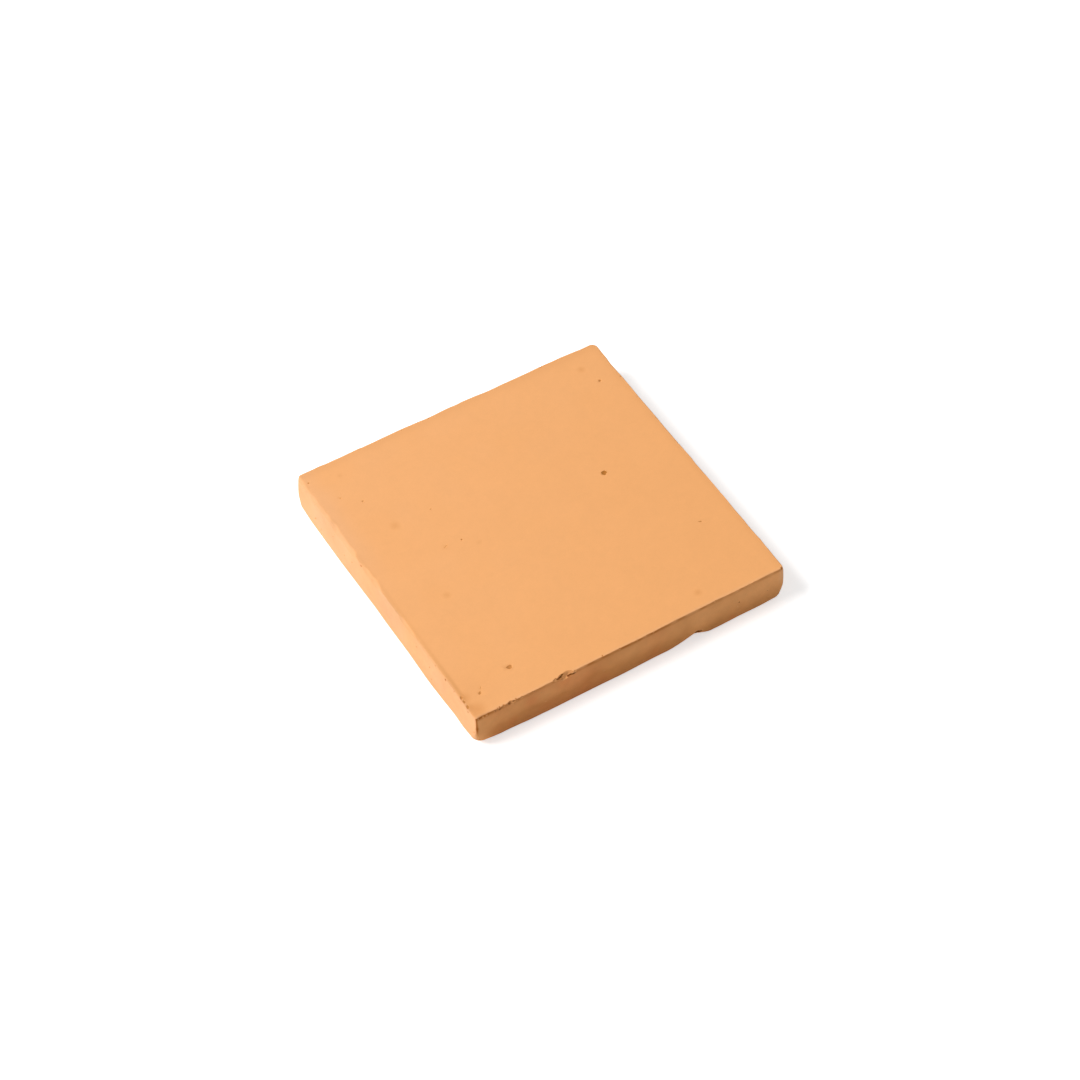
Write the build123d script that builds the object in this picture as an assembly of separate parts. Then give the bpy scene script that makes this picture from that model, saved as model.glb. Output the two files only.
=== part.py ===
from build123d import *

import math
import os

# Concrete paving slab, cast in one piece: a square plate that lies flat with its smooth face up.
# Origin at the centre of the underside, sides along X and Y. The side with the spall and the nick faces -Y.

# Plate, with its side measured where the slab is widest
SLAB_SIDE = 400.0
SLAB_THICKNESS = 50.0
# How far each moulded side swells out beyond the top edge, and the height of its widest line
FRONT_SWELL = 2.2
RIGHT_SWELL = 2.2
BACK_SWELL = 1.0
LEFT_SWELL = 1.0
SWELL_HEIGHT = 18.0
# Upright corner edges and top edge
CORNER_RADIUS = 3.5
ARRIS_RADIUS = 1.0

# Lower edges, rounded: height up the side, reach in along the underside, swell of the curve
FOOT_RISE = 4.0
FOOT_RUN = 4.0
FOOT_SWELL = 1.1

# Lower corners, rubbed round in the same way, with the reach along the diagonal
LOWER_CORNER_RISE = 20.0
LOWER_CORNER_RUN = 11.0
LOWER_CORNER_SWELL = 2.8
# How much of that each corner has, by the direction in which the corner lies
RIGHT_CORNER_SHARE = 1.0
BACK_CORNER_SHARE = 0.9
LEFT_CORNER_SHARE = 1.0
FRONT_CORNER_SHARE = 0.9

# Nick in the lower edge of the front side, with a long slope on its left
NICK_LONG_FLANK = 23.0
NICK_SHORT_FLANK = 15.0
NICK_HEIGHT = 8.4
NICK_DEPTH = 16.0
NICK_ROUNDING = 5.0
NICK_PLACE_SHARE = 0.42

# Scooped spalls in the top edge: length along the edge, bite into the corner of the section, and place
# as a share of half the top face, counted to the right as one faces that side
FRONT_SPALL_LENGTH = 32.0
FRONT_SPALL_BITE = 2.8
FRONT_SPALL_PLACE_SHARE = -0.43
FRONT_CHIP_LENGTH = 12.0
FRONT_CHIP_BITE = 1.7
FRONT_CHIP_PLACE_SHARE = -0.78
LEFT_CHIP_LENGTH = 17.0
LEFT_CHIP_BITE = 1.4
LEFT_CHIP_PLACE_SHARE = 0.89

# Open air voids in the top, half a ball deep, placed by shares of half the top face along X and Y
LARGE_VOID_DIAMETER = 7.0
LARGE_VOID_SHARES = ((0.516, 0.106), (-0.668, -0.798))
SMALL_VOID_DIAMETER = 4.0
SMALL_VOID_SHARES = ((0.872, 0.723), (-0.890, -0.859), (0.787, -0.481))

# How far a cutting body runs past the surface that it opens
OVERRUN = 10.0

HALF_SIDE = SLAB_SIDE / 2
# The swell of the side that faces each direction, and the worn share of the corner that lies in each direction
SIDE_SWELLS = {0: RIGHT_SWELL, 90: BACK_SWELL, 180: LEFT_SWELL, 270: FRONT_SWELL}
LOWER_CORNER_SHARES = {
    45: BACK_CORNER_SHARE,
    135: LEFT_CORNER_SHARE,
    225: FRONT_CORNER_SHARE,
    315: RIGHT_CORNER_SHARE,
}


def side_reach(direction, height):
    """How far the side that faces a direction lies from the slab's centre line at a height above the underside."""
    swell = SIDE_SWELLS[direction]
    rise = SLAB_THICKNESS - SWELL_HEIGHT
    radius = (rise**2 + swell**2) / (2 * swell)
    return HALF_SIDE - radius + math.sqrt(radius**2 - (height - SWELL_HEIGHT) ** 2)


def corner_reach(direction, height):
    """The same for the upright corner that lies in a direction, along the diagonal."""
    beside = [side_reach((direction + turn) % 360, height) for turn in (-45, 45)]
    return (sum(beside) - 2 * CORNER_RADIUS) / math.sqrt(2) + CORNER_RADIUS


def across_side(profile, direction):
    """A prism along the side that faces a direction, from its profile in reach and height."""
    upright = Plane(origin=(0, SLAB_SIDE, 0), x_dir=(1, 0, 0), z_dir=(0, -1, 0))
    return Rot(0, 0, direction) * extrude(upright * profile, 2 * SLAB_SIDE)


def side_trim(direction):
    """What lies outside the moulded side that faces a direction, as a prism with a curved inner face."""
    outside = HALF_SIDE + 2 * OVERRUN
    ends = [(side_reach(direction, height), height) for height in (-OVERRUN, SLAB_THICKNESS + OVERRUN)]
    curve = ThreePointArc(ends[0], (HALF_SIDE, SWELL_HEIGHT), ends[1])
    rest = Polyline(ends[1], (outside, ends[1][1]), (outside, ends[0][1]), ends[0])
    return across_side(make_face(curve + rest), direction)


def swollen_plate():
    """The cast plate, with sides that swell out below the top face, rounded uprights and a softened top edge."""
    block_side = SLAB_SIDE + 2 * OVERRUN
    plate = Box(block_side, block_side, SLAB_THICKNESS, align=(Align.CENTER, Align.CENTER, Align.MIN))
    for direction in SIDE_SWELLS:
        plate -= side_trim(direction)
    uprights = plate.edges().filter_by(lambda edge: edge.bounding_box().size.Z > ARRIS_RADIUS)
    plate = fillet(uprights, CORNER_RADIUS)
    return fillet(plate.faces().sort_by(Axis.Z)[-1].edges(), ARRIS_RADIUS)


def lower_wear(reach, direction, rise, run, swell):
    """What is worn off the lower edge or corner that lies in one direction, as a curved prism across it."""
    on_side = (reach(direction, rise), rise)
    on_underside = (reach(direction, 0) - run, 0)
    outside = on_side[0] + OVERRUN
    worn = SagittaArc(on_underside, on_side, -swell)
    rest = Polyline(on_side, (outside, rise), (outside, -OVERRUN), (on_underside[0], -OVERRUN), on_underside)
    return across_side(make_face(worn + rest), direction)


def nick_cut():
    """The flake broken from the lower front edge, which runs out on the underside."""
    outline = Polyline(
        (-NICK_LONG_FLANK, 0),
        (0, NICK_HEIGHT),
        (NICK_SHORT_FLANK, 0),
        (NICK_SHORT_FLANK, -OVERRUN),
        (-NICK_LONG_FLANK, -OVERRUN),
        close=True,
    )
    profile = make_face(outline)
    apex = profile.vertices().sort_by(Axis.Y)[-1]
    profile = fillet(apex, NICK_ROUNDING)
    slope = NICK_HEIGHT / NICK_DEPTH
    outside = Plane(
        origin=(NICK_PLACE_SHARE * HALF_SIDE, -HALF_SIDE - OVERRUN, OVERRUN * slope),
        x_dir=(1, 0, 0),
        z_dir=(0, -1, 0),
    )
    inward = Vector(0, 1, -slope)
    reach = (NICK_DEPTH + 2 * OVERRUN) * inward.length
    return extrude(outside * profile, reach, dir=inward.normalized())


def on_face(x_share, y_share):
    """A place on the top face, by shares of half its width and depth from its middle."""
    right, back, left, front = [side_reach(direction, SLAB_THICKNESS) for direction in SIDE_SWELLS]
    x = (right - left + x_share * (right + left)) / 2
    y = (back - front + y_share * (back + front)) / 2
    return Pos(x, y, SLAB_THICKNESS)


def arris_scoop(edge, length, bite):
    """A ball that bites a top edge to a given length and depth, at a place on the edge that faces -Y there."""
    radius = (length**2 / 4 + bite**2) / (2 * bite)
    stand_off = (radius - bite) / math.sqrt(2)
    return edge * Pos(0, -stand_off, stand_off) * Sphere(radius)


def arris_spalls():
    """The spalls along the top edge of the front and left sides."""
    facing_left = Rot(0, 0, -90)
    return [
        arris_scoop(on_face(FRONT_SPALL_PLACE_SHARE, -1), FRONT_SPALL_LENGTH, FRONT_SPALL_BITE),
        arris_scoop(on_face(FRONT_CHIP_PLACE_SHARE, -1), FRONT_CHIP_LENGTH, FRONT_CHIP_BITE),
        arris_scoop(on_face(-1, -LEFT_CHIP_PLACE_SHARE) * facing_left, LEFT_CHIP_LENGTH, LEFT_CHIP_BITE),
    ]


def air_voids(diameter, place_shares):
    """Half-ball pits of one size that open in the top face."""
    return [on_face(x_share, y_share) * Sphere(diameter / 2) for x_share, y_share in place_shares]


def paving_slab():
    """The whole slab as one solid."""
    slab = swollen_plate()
    for direction in SIDE_SWELLS:
        slab -= lower_wear(side_reach, direction, FOOT_RISE, FOOT_RUN, FOOT_SWELL)
    for direction, share in LOWER_CORNER_SHARES.items():
        rise = LOWER_CORNER_RISE * share
        run = LOWER_CORNER_RUN * share
        swell = LOWER_CORNER_SWELL * share
        slab -= lower_wear(corner_reach, direction, rise, run, swell)
    slab -= nick_cut()
    slab -= arris_spalls()
    slab -= air_voids(LARGE_VOID_DIAMETER, LARGE_VOID_SHARES)
    slab -= air_voids(SMALL_VOID_DIAMETER, SMALL_VOID_SHARES)
    return slab


os.makedirs("parts", exist_ok=True)
export_step(paving_slab(), "parts/paving_slab.step")
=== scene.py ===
# %% [markdown]
# A concrete paving slab. It is one cast block: a smooth trowelled face on top, four moulded sides that
# swell a little, a rounded lower edge, and the chips and air holes that casting and handling leave. The
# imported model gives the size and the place; this lesson gives the slab its skin, its damage and its
# light.

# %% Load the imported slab
import math

import bmesh
import bpy
import numpy as np
from mathutils import Matrix, Vector


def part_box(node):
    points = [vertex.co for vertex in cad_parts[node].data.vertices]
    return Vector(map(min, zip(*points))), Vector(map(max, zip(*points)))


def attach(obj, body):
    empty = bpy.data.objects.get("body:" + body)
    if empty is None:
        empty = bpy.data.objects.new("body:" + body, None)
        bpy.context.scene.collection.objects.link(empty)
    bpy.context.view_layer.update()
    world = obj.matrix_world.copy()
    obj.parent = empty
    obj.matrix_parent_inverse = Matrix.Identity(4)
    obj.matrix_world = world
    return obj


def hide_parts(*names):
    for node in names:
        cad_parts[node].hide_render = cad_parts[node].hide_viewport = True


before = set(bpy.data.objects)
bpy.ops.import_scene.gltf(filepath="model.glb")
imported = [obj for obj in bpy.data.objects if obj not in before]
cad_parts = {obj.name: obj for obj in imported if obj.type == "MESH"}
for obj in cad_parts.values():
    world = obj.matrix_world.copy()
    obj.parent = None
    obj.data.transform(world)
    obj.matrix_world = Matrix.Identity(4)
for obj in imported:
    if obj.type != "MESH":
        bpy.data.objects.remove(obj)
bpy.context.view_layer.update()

NODE = "paving_slab"
low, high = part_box(NODE)
print("packed slab, metres:", [round(size, 4) for size in high - low])

# %% [markdown]
# The sizes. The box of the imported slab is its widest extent. The top face is smaller than that box,
# because every side swells out below the top edge, as a mould's walls give a little under wet concrete.
# Working in millimetres keeps the numbers the ones a rule would show.

# %% Sizes in millimetres
MM = 0.001
HALF = (high.x - low.x) / 2 / MM
THICK = (high.z - low.z) / MM
SWELL = {"front": 2.2, "right": 2.2, "back": 1.0, "left": 1.0}

face_side = 2 * HALF - SWELL["left"] - SWELL["right"]
face_x = (SWELL["left"] - SWELL["right"]) / 2
face_y = (SWELL["front"] - SWELL["back"]) / 2
print("top face", round(face_side, 1), "mm square, its middle at", round(face_x, 2), round(face_y, 2))

# %% [markdown]
# The camera. A long lens from about three metres away keeps the sides of the square almost parallel, as a
# product photograph does. One could push the camera about until it fits; here its place is worked out
# from the angle it looks down at, the way it is turned, and where the middle of the slab's face sits
# before the lens.

# %% Camera
CAMERA_AZIMUTH = math.radians(-31.45)
CAMERA_ELEVATION = math.radians(50.96)
CAMERA_LENS = 96.4
# The middle of the top face seen from the lens, in sides of that face: to the right, up and away
FACE_RIGHT, FACE_UP, FACE_AWAY = -0.0073, 0.0531, 8.1518

face_middle = Vector((face_x * MM, face_y * MM, high.z))
look_right = Vector((math.cos(CAMERA_AZIMUTH), math.sin(CAMERA_AZIMUTH), 0))
look_level = Vector((-math.sin(CAMERA_AZIMUTH), math.cos(CAMERA_AZIMUTH), 0))
world_up = Vector((0, 0, 1))
look_up = look_level * math.sin(CAMERA_ELEVATION) + world_up * math.cos(CAMERA_ELEVATION)
look_ahead = look_level * math.cos(CAMERA_ELEVATION) - world_up * math.sin(CAMERA_ELEVATION)


def new_object(name, data):
    """A new object that shows this data, put into the scene."""
    thing = bpy.data.objects.new(name, data)
    bpy.context.scene.collection.objects.link(thing)
    return thing


camera = new_object("camera", bpy.data.cameras.new("camera"))
camera.data.lens = CAMERA_LENS
turn = Matrix((look_right, look_up, -look_ahead)).transposed().to_4x4()
to_face = (look_right * FACE_RIGHT + look_up * FACE_UP + look_ahead * FACE_AWAY) * face_side * MM
camera.matrix_world = Matrix.Translation(face_middle - to_face) @ turn
bpy.context.scene.camera = camera
print("camera at", [round(c, 3) for c in camera.matrix_world.translation])

# %% [markdown]
# Nodes come up all through this lesson, for light, for cutting and for colour. Making each by hand takes
# four lines, so small helpers make a node, set it and link it, and each recipe below reads as a list of
# what feeds what.

# %% Helpers for nodes


def feed(tree, node, inputs):
    """Sets each input of a node to a value, or links it to another node's output."""
    for name, value in inputs.items():
        if isinstance(value, bpy.types.NodeSocket):
            tree.links.new(value, node.inputs[name])
        else:
            node.inputs[name].default_value = value


def add(tree, kind, inputs=None, **settings):
    """A new node with its settings and its inputs."""
    node = tree.nodes.new(kind)
    for name, value in settings.items():
        setattr(node, name, value)
    feed(tree, node, inputs or {})
    return node


def maths(tree, operation, first, second=0.0):
    """The result of a sum on two values or sockets."""
    return add(tree, "ShaderNodeMath", {0: first, 1: second}, operation=operation).outputs[0]


def new_group(kind, name, inputs, outputs):
    """An empty node group with named sockets: its tree, what comes in, and the node for what goes out."""
    tree = bpy.data.node_groups.new(name, kind)
    for socket_name, socket_type in inputs.items():
        tree.interface.new_socket(socket_name, in_out="INPUT", socket_type=socket_type)
    for socket_name, socket_type in outputs.items():
        tree.interface.new_socket(socket_name, in_out="OUTPUT", socket_type=socket_type)
    return tree, tree.nodes.new("NodeGroupInput").outputs, tree.nodes.new("NodeGroupOutput")


print("helpers for nodes:", [helper.__name__ for helper in (feed, add, maths, new_group)])

# %% [markdown]
# The studio. One broad soft lamp stands to the left, and the pale room fills the shadows. A row of lamps
# would light every side alike; a single one leaves the front side in shade, which is what shows that the
# slab is thick. The room looks white to the camera, but only a third of that falls on things as light.

# %% Studio light
bpy.context.scene.view_settings.view_transform = "Standard"
KEY_ELEVATION = math.radians(46)
KEY_SWING = math.radians(8)
KEY_DISTANCE = 7.5
KEY_SIZE = 3.6
KEY_POWER = 589.0
ROOM_LIGHT = 0.30

key_level = -look_right * math.cos(KEY_SWING) - look_level * math.sin(KEY_SWING)
key_way = key_level * math.cos(KEY_ELEVATION) + world_up * math.sin(KEY_ELEVATION)
key = new_object("key_light", bpy.data.lights.new("key_light", "AREA"))
key.data.shape = "SQUARE"
key.data.size = KEY_SIZE
key.data.energy = KEY_POWER
key.location = face_middle + key_way * KEY_DISTANCE
key.rotation_euler = key_way.to_track_quat("Z", "Y").to_euler()


def seen_directly(tree):
    """A mask that is 1 for what the camera, a mirror or glass shows, and 0 for light on things."""
    path = add(tree, "ShaderNodeLightPath").outputs
    mirrored = maths(tree, "MAXIMUM", path["Is Glossy Ray"], path["Is Transmission Ray"])
    return maths(tree, "MAXIMUM", path["Is Camera Ray"], mirrored)


world = bpy.data.worlds.new("room")
bpy.context.scene.world = world
world.use_nodes = True
tree = world.node_tree
room_strength = maths(tree, "MAXIMUM", seen_directly(tree), ROOM_LIGHT)
feed(tree, tree.nodes["Background"], {"Color": (1, 1, 1, 1), "Strength": room_strength})
print("key light at", [round(c, 2) for c in key.location], "room light", ROOM_LIGHT)

# %% [markdown]
# The floor is plain and white. It could be made white by pouring light on it, but that would bleach the
# slab too. Instead the paint gives off a little light of its own, which only the camera and mirror-like
# reflections see, so the floor turns white and still keeps the slab's soft shadow.

# %% Floor
FLOOR_REACH = 12.0
FLOOR_PAINT = 0.86
FLOOR_GLOW = 0.58

floor_mesh = bpy.data.meshes.new("floor")
floor_corners = [(-1, -1), (1, -1), (1, 1), (-1, 1)]
floor_places = [(x * FLOOR_REACH, y * FLOOR_REACH, low.z) for x, y in floor_corners]
floor_mesh.from_pydata(floor_places, [], [(0, 1, 2, 3)])
floor = new_object("floor", floor_mesh)
paint = bpy.data.materials.new("floor_paint")
paint.use_nodes = True
tree = paint.node_tree
tree.nodes.clear()
matt = add(tree, "ShaderNodeBsdfDiffuse", {"Color": (FLOOR_PAINT, FLOOR_PAINT, FLOOR_PAINT, 1)})
glow_strength = maths(tree, "MULTIPLY", seen_directly(tree), FLOOR_GLOW)
glow = add(tree, "ShaderNodeEmission", {"Strength": glow_strength})
lit = add(tree, "ShaderNodeAddShader", {0: matt.outputs[0], 1: glow.outputs[0]})
add(tree, "ShaderNodeOutputMaterial", {"Surface": lit.outputs[0]})
floor_mesh.materials.append(paint)
print("floor at height", round(low.z, 4))

# %% [markdown]
# The cast block. A cube with bevels would be too perfect: every edge of the real slab has its own
# softness, the sides swell, and the lower corners are rubbed away. So the shape is written as a distance
# rule, one that says for any point how far it lies outside the slab. A fine box of points is then pulled
# onto the place where the rule gives zero. Most terms of the rule need a little unevenness, so that comes
# first.

# %% Smooth random ripples
NOISE_CELLS = 32


def ripples(points, wavelength, seed):
    """A smooth random value between -1 and 1 at each point, changing over about one wavelength."""
    table = np.random.default_rng(seed).uniform(-1, 1, (NOISE_CELLS,) * 3)
    cell = points / wavelength
    base = np.floor(cell).astype(int)
    part = cell - base
    fade = part * part * part * (part * (part * 6 - 15) + 10)
    total = np.zeros(len(points))
    for corner in np.ndindex(2, 2, 2):
        weight = np.prod(np.where(corner, fade, 1 - fade), axis=1)
        i, j, k = ((base + corner) % NOISE_CELLS).T
        total += weight * table[i, j, k]
    return total


def waves(points, layers):
    """Ripples added up, from layers that each give a height, a wavelength and a seed."""
    return sum(height * ripples(points, wavelength, seed) for height, wavelength, seed in layers)


def lifted_waves(points, layers):
    """The same, lifted so that they never fall below zero."""
    return waves(points, layers) + sum(height for height, wavelength, seed in layers)


print("ripples a quarter cell apart:", ripples(np.array([[0, 0, 0], [0.25, 0, 0]]), 1, 1).round(3))

# %% [markdown]
# The moulded sides. Wet concrete pushes the walls of its mould outwards, most of all a third of the way
# up, and the walls are never quite straight. A curve modelled once would repeat on every side, so each
# side has its own swell, waves and places where it stands out or in. The front side also has a shallow
# groove under its top edge, where the trowel pressed the face over.

# %% The moulded sides
# For each side: the way it faces, how much it waves, how its swell grows along it, and its groove
SIDES = {
    "front": {"way": (0, -1), "wave": 0.35, "twist": 0.3, "groove": 0.9},
    "right": {"way": (1, 0), "wave": 0.30, "twist": 0.0, "groove": 0.4},
    "back": {"way": (0, 1), "wave": 0.35, "twist": 0.0, "groove": 0.2},
    "left": {"way": (-1, 0), "wave": 0.60, "twist": 0.8, "groove": 0.0},
}
# Where a side stands further out or in: place along it, reach, amount at the foot and amount at the top
BULGES = {
    "front": [(25, 55, -1.0, 0), (-155, 35, -0.8, 0)],
    "right": [(-200, 150, -2.6, 0), (195, 40, 0.3, 0.8)],
    "back": [(190, 45, -0.8, -0.8)],
    "left": [(130, 75, 1.0, 0), (17, 45, -0.4, 0), (-90, 50, 0.9, 0), (-152, 25, -0.7, 0)],
}
SWELL_HEIGHT = 18.0
GROOVE_DROP = 1.9
GROOVE_WIDTH = 1.4
# Layers of unevenness, as height, wavelength and seed: of a whole side, of its skin and of its groove
LONG_WAVES = ((1.0, 70, 1),)
SHORT_WAVES = ((0.14, 20, 2), (0.05, 6, 3))
GROOVE_WAVES = ((0.5, 9, 4),)


def ease(value):
    """A share from 0 to 1 that starts and ends gently."""
    share = np.clip(value, 0, 1)
    return share * share * (3 - 2 * share)


def by_place(pairs, place):
    """A value that changes along a side, from pairs of a place and the value there."""
    return np.interp(place, *zip(*pairs))


def groove_share(points):
    """How deep in the groove under the top edge a point lies, from 0 to 1."""
    drop = (THICK - GROOVE_DROP - points[:, 2]) / GROOVE_WIDTH
    return np.exp(-drop * drop)


def side_distances(points):
    """How far points lie outside each moulded side."""
    x, y, z = points.T
    long_waves = waves(points, LONG_WAVES)
    short_waves = waves(points, SHORT_WAVES)
    groove = groove_share(points) * (1 + waves(points, GROOVE_WAVES))
    away = {}
    for name, side in SIDES.items():
        rise = THICK - SWELL_HEIGHT
        bend = (rise**2 + SWELL[name] ** 2) / (2 * SWELL[name])
        tuck = (z - SWELL_HEIGHT) ** 2 / (2 * bend)
        lengthwise = x if side["way"][0] == 0 else y
        low_share = 1 - z / THICK
        reach = HALF - tuck + side["twist"] * lengthwise / HALF * low_share - side["groove"] * groove
        for place, spread, at_foot, at_top in BULGES[name]:
            amount = at_foot * low_share + at_top * (1 - low_share)
            reach = reach + amount * ease(1 - np.abs(lengthwise - place) / spread)
        reach = reach + side["wave"] * long_waves + short_waves
        away[name] = points[:, :2] @ np.array(side["way"]) - reach
    return away


middle_height = np.array([[0, 0, THICK / 2]])
to_sides = side_distances(middle_height)
print("middle to each side, mm:", {name: round(-float(far[0]), 2) for name, far in to_sides.items()})

# %% [markdown]
# The underside. The slab lies on a rough bed face that nobody sees. At the front corner it stands a
# little clear of the ground, and on the right of the front side a flake has broken out of the lower edge.
# A flake could be cut away later, but as a term of the rule it gets the same rounded foot as the rest.

# %% The underside and its nick
FRONT_LIFT = 2.4
FRONT_LIFT_REACH = 110.0
NICK_MIDDLE = 80.0
NICK_LONG_FLANK = 33.0
NICK_SHORT_FLANK = 20.0
NICK_RISE = 10.2
NICK_CURVE = 1.3
NICK_TIP = 2.0
NICK_DEPTH = 18.0
# Roughness of the bed, in layers
BED_WAVES = ((0.15, 30, 5), (0.08, 7, 6))


def underside_height(points):
    """How high the underside lies: a rough bed, lifted at the front corner and broken out at the nick."""
    x, y = points[:, :2].T
    bed = lifted_waves(points, BED_WAVES)
    lift = FRONT_LIFT * ease(1 - np.hypot(x + HALF, y + HALF) / FRONT_LIFT_REACH)
    flank = np.where(x < NICK_MIDDLE, NICK_LONG_FLANK, NICK_SHORT_FLANK)
    share = np.clip(1 - (np.hypot(x - NICK_MIDDLE, NICK_TIP) - NICK_TIP) / flank, 0, 1)
    nick = NICK_RISE * share**NICK_CURVE
    return bed + lift + nick * np.clip(1 - (y + HALF) / NICK_DEPTH, 0, 1)


nick_top = np.array([[NICK_MIDDLE, -HALF, 0]])
print("height of the nick:", round(float(underside_height(nick_top)[0]), 2), "mm")

# %% [markdown]
# The edges. Two distances joined with a plain maximum meet in a knife edge; joined in a circle they meet
# in a rounded one, and the radius may change from place to place. So the left top edge is soft, the front
# one crisp until it reaches its worn corner, and the lower corners are rubbed to a much larger radius
# than the upper.

# %% The edges and the whole rule
# How round each top edge is, as pairs of a place along it and the radius there
ARRIS = {
    "front": ((-196, 3.0), (-182, 2.2), (-168, 0.8), (-150, 0.6)),
    "right": ((0, 0.8),),
    "back": ((0, 0.9),),
    "left": ((-170, 0.9), (-120, 1.6), (-40, 3.4), (HALF, 3.4)),
}
# For each upright corner, by the signs of x and y: its radius above, and its rubbed radius at the foot
CORNERS = {(-1, -1): (3.0, 13.0), (1, -1): (4.5, 10.0), (1, 1): (8.0, 15.0), (-1, 1): (5.2, 12.0)}
RUB_HEIGHT = 24.0
RUB_REACH = 35.0
RUB_FOOT = 0.7
RUB_CURVE = 0.8
FOOT_RADIUS = 4.0
# How far one top edge's roundness reaches into the next one's, and the least share of it that is left
CORNER_BLEND = 6.0
LEAST_ARRIS = 0.2
# Layers of unevenness of the face, of the roundness of its edges and of the foot
FACE_WAVES = ((0.12, 95, 7), (0.04, 24, 8))
ARRIS_WAVES = ((1.1, 26, 9), (0.6, 10, 10))
FOOT_WAVES = ((0.12, 50, 11),)


def rounded_and(a, b, radius):
    """Distance to what lies inside both of two bodies, with the edge between them rounded."""
    beyond = np.hypot(np.maximum(a + radius, 0), np.maximum(b + radius, 0))
    return np.minimum(np.maximum(a, b), -radius) + beyond


def slab_parts(points):
    """How far points lie outside the sides, top and underside, and how rounded the edges are there."""
    x, y, z = points.T
    away = side_distances(points)
    across = np.maximum(away["left"], away["right"])
    along = np.maximum(away["front"], away["back"])
    rub = ease(1 - z / RUB_HEIGHT) ** RUB_CURVE
    corner = np.zeros(len(points))
    rubbed = np.zeros(len(points))
    for (right, back), (above, below) in CORNERS.items():
        here = (np.sign(x) == right) & (np.sign(y) == back)
        corner[here] = above
        rubbed[here] = (below - above) * rub[here]
    sides = rounded_and(across, along, corner + rubbed)
    top = z - THICK + lifted_waves(points, FACE_WAVES)
    under = underside_height(points) - z

    x_share = ease((across - along) / CORNER_BLEND + 0.5)
    x_arris = np.where(x > 0, by_place(ARRIS["right"], y), by_place(ARRIS["left"], y))
    y_arris = np.where(y > 0, by_place(ARRIS["back"], x), by_place(ARRIS["front"], x))
    arris = x_arris * x_share + y_arris * (1 - x_share)
    arris = arris * np.maximum(1 + waves(points, ARRIS_WAVES), LEAST_ARRIS)
    near_corner = ease(1 + np.minimum(across, along) / RUB_REACH)
    foot = FOOT_RADIUS * (1 + waves(points, FOOT_WAVES)) + RUB_FOOT * rubbed * near_corner
    return away, sides, top, under, arris, foot


def slab_distance(points):
    """How far points lie outside the slab: under zero inside it."""
    _, sides, top, under, arris, foot = slab_parts(points)
    return rounded_and(rounded_and(sides, top, arris), under, foot)


print("the slab's middle lies", round(-float(slab_distance(middle_height)[0]), 2), "mm deep")

# %% [markdown]
# The points. A box cut into equal squares would spend its points on the flat face. Here the squares are
# wide in the middle of each face and close together towards the edges, where the roundness and the chips
# are, and the rim of the slab is divided once or twice more.

# %% A box of points, close together near its edges
FINEST_STEP = 0.35
COARSEST_STEP = 5.0
COARSEST_RISE = 2.5
STEP_GROWTH = 1.3
RIM = 9.0
RIM_STEP = 1.3


def graded_lines(length, coarsest):
    """Places along a length, close together at both ends and wide apart in the middle."""
    steps = [FINEST_STEP]
    while sum(steps) + min(steps[-1] * STEP_GROWTH, coarsest) < length / 2:
        steps.append(min(steps[-1] * STEP_GROWTH, coarsest))
    half = np.concatenate([[0], np.cumsum(steps)])
    half *= length / 2 / half[-1]
    return np.concatenate([half, length - half[-2::-1]]) - length / 2


def grid_face(bm, us, vs, place):
    """One side of the box as a grid of squares."""
    rows = [[bm.verts.new(place(u, v)) for v in vs] for u in us]
    for first, second in zip(rows, rows[1:]):
        for a, b, c, d in zip(first, second, second[1:], first[1:]):
            bm.faces.new((a, b, c, d))


def fine_box():
    """A closed box of squares in millimetres, finer along every edge that chips can reach."""
    plan = graded_lines(2 * HALF, COARSEST_STEP)
    rise = graded_lines(THICK, COARSEST_RISE) + THICK / 2
    bm = bmesh.new()
    for end in (-HALF, HALF):
        grid_face(bm, plan, rise, lambda u, v: (end, u, v))
        grid_face(bm, plan, rise, lambda u, v: (u, end, v))
    for end in (0, THICK):
        grid_face(bm, plan, plan, lambda u, v: (u, v, end))
    bmesh.ops.remove_doubles(bm, verts=bm.verts, dist=FINEST_STEP / 100)
    bmesh.ops.recalc_face_normals(bm, faces=bm.faces)
    for limit in (2 * RIM_STEP, RIM_STEP):
        long_edges = []
        for edge in bm.edges:
            start, end = edge.verts[0].co, edge.verts[1].co
            middle = (start + end) / 2
            at_rim = max(abs(middle.x), abs(middle.y)) > HALF - RIM
            if at_rim and abs(start.z - end.z) < limit < (end - start).length:
                long_edges.append(edge)
        bmesh.ops.subdivide_edges(bm, edges=long_edges, cuts=1)
    bmesh.ops.triangulate(bm, faces=[face for face in bm.faces if len(face.verts) > 4])
    return bm


box = fine_box()
print("box of", len(box.verts), "points and", len(box.faces), "faces")

# %% [markdown]
# The pull. Each point looks which way the distance grows fastest and steps the other way by that
# distance. After a few steps it lies on the slab. A Displace modifier moves points along one direction
# only; this finds the right direction at every edge and corner.

# %% Pull the points onto the slab
PULLS = 4
PROBE = 0.02
LEAST_SLOPE = 0.25


def pulled(points):
    """Points moved along the slope of the distance rule until they lie on the slab."""
    for _ in range(PULLS):
        distance = slab_distance(points)
        ahead = [slab_distance(points + PROBE * axis) for axis in np.eye(3)]
        slope = (np.stack(ahead, 1) - distance[:, None]) / PROBE
        step = distance / np.maximum((slope * slope).sum(1), LEAST_SLOPE)
        points = points - step[:, None] * slope
    return points


slab_points = pulled(np.array([vert.co for vert in box.verts]))
print("largest miss, mm:", round(float(np.abs(slab_distance(slab_points)).max()), 3))
for vert, point in zip(box.verts, slab_points):
    vert.co = Vector(point * MM) + Vector((0, 0, low.z))
slab = new_object("slab", bpy.data.meshes.new("slab"))
box.to_mesh(slab.data)
box.free()

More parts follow.
